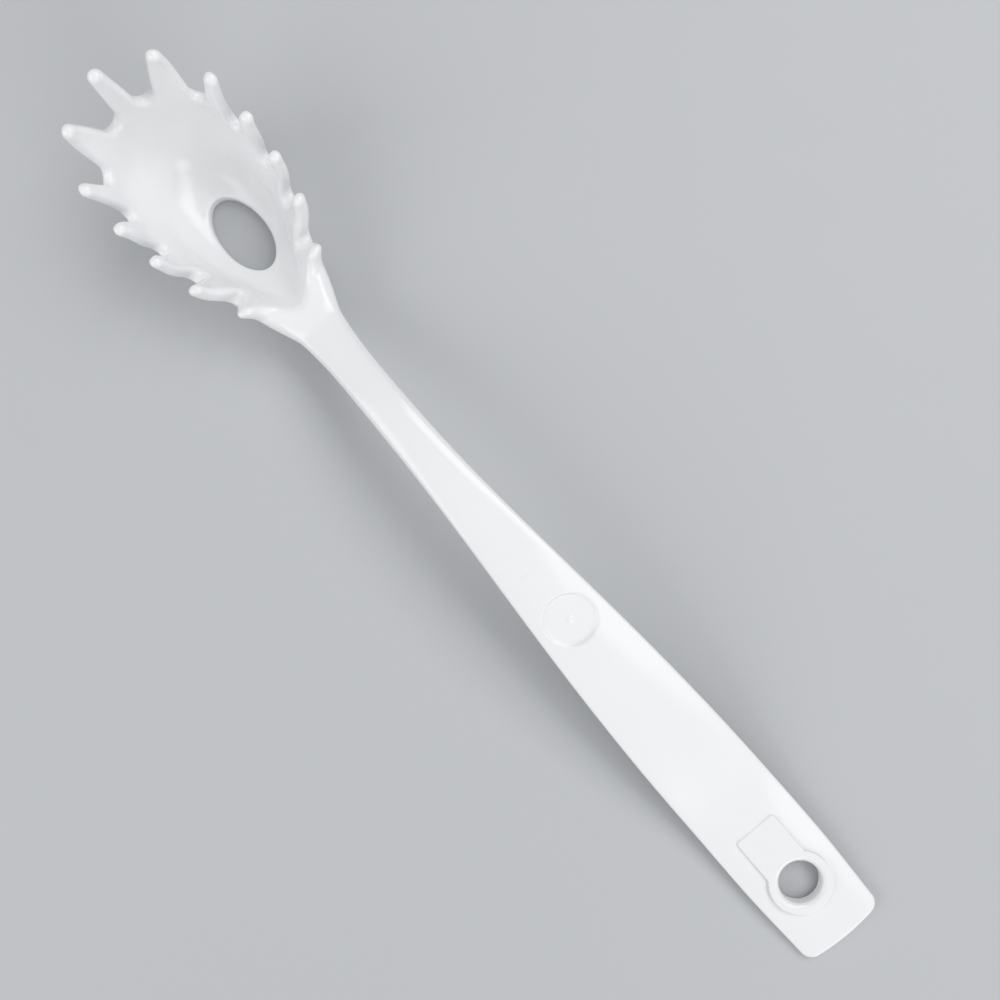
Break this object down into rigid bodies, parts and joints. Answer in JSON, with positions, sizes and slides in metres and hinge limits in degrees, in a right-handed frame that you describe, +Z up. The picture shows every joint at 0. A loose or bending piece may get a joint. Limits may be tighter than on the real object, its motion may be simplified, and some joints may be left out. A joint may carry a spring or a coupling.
{
  "type": "pasta server",
  "caption": "Pasta server: an arched flat handle with a hanging hole carries an oval bowl with a drain hole and a rim of upright teeth.",
  "frame": {"origin": "on the surface it lies on, midway between the front tooth and the end of the handle, on the plane of symmetry", "axes": "+X from the handle to the bowl, +Z up out of the open bowl, alike on both sides of the XZ plane"},
  "size_m": [0.301, 0.0474, 0.0483],
  "materials": {
    "white_plastic": "white gloss moulding"
  },
  "bodies": {
    "root": {"bowl": "white_plastic", "end_panel": "white_plastic", "front_tooth": "white_plastic", "grip_front": "white_plastic", "grip_rear": "white_plastic", "hanging_collar": "white_plastic", "hanging_end": "white_plastic", "left_tooth_1": "white_plastic", "left_tooth_2": "white_plastic", "left_tooth_3": "white_plastic", "left_tooth_4": "white_plastic", "left_tooth_5": "white_plastic", "left_tooth_6": "white_plastic", "neck": "white_plastic", "right_tooth_1": "white_plastic", "right_tooth_2": "white_plastic", "right_tooth_3": "white_plastic", "right_tooth_4": "white_plastic", "right_tooth_5": "white_plastic", "right_tooth_6": "white_plastic"}
  },
  "joints": []
}
